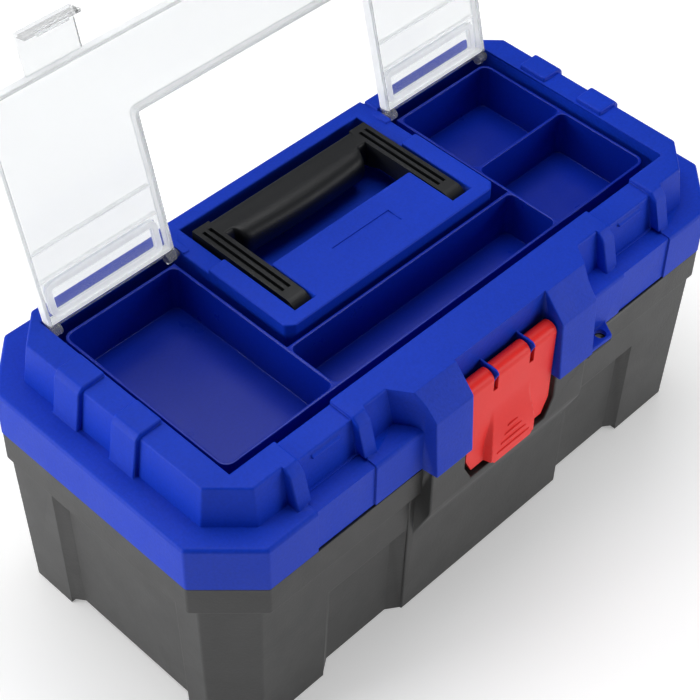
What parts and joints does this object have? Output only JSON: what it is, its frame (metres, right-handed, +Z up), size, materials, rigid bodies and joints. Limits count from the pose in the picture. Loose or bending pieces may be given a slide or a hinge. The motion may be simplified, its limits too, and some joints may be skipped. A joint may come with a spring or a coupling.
{
  "type": "toolbox with tray",
  "caption": "Lidded plastic toolbox with a front latch, a folding lid handle, a divided bin under a clear hinged cover and a lift-out inner tray.",
  "frame": {"origin": "on the floor, under the middle of the closed box's outline", "axes": "+X along the box to its right end seen from the latch, +Y from the latch to the rear hinges, +Z up"},
  "size_m": [0.4, 0.2195, 0.3322],
  "materials": {
    "base_plastic": "fine moulded texture, charcoal",
    "lid_plastic": "fine moulded texture, satin blue",
    "bin_plastic": "smooth deep blue",
    "clear_plastic": "clear moulded plastic with frosted ribs",
    "handle_plastic": "satin near-black",
    "latch_plastic": "satin red",
    "blackened_rod": "smooth black",
    "pin_steel": "plain drawn steel"
  },
  "bodies": {
    "base": {"base_shell": "base_plastic", "inner_tray": "bin_plastic", "lid_hinge_pin_left": "pin_steel", "lid_hinge_pin_right": "pin_steel"},
    "lid": {"lid_shell": "lid_plastic", "organiser_bin": "bin_plastic", "latch_rod": "blackened_rod", "handle_pin_left": "pin_steel", "handle_pin_right": "pin_steel"},
    "latch": {"latch": "latch_plastic"},
    "handle": {"carry_handle": "handle_plastic"},
    "cover": {"clear_cover": "clear_plastic"}
  },
  "joints": [
    {"name": "lid_hinge", "type": "hinge", "parent": "base", "child": "lid", "pos_m": [0, 0.1052, 0.129], "axis": [-1, 0, 0], "range_deg": [0, 105]},
    {"name": "latch_hinge", "type": "hinge", "parent": "lid", "child": "latch", "pos_m": [0, -0.0992, 0.1635], "axis": [-1, 0, 0], "range_deg": [0, 120]},
    {"name": "handle_hinge", "type": "hinge", "parent": "lid", "child": "handle", "pos_m": [0, -0.002, 0.176], "axis": [1, 0, 0], "range_deg": [0, 90]},
    {"name": "cover_hinge", "type": "hinge", "parent": "lid", "child": "cover", "pos_m": [0, 0.0665, 0.1805], "axis": [1, 0, 0], "range_deg": [0, 104]}
  ]
}
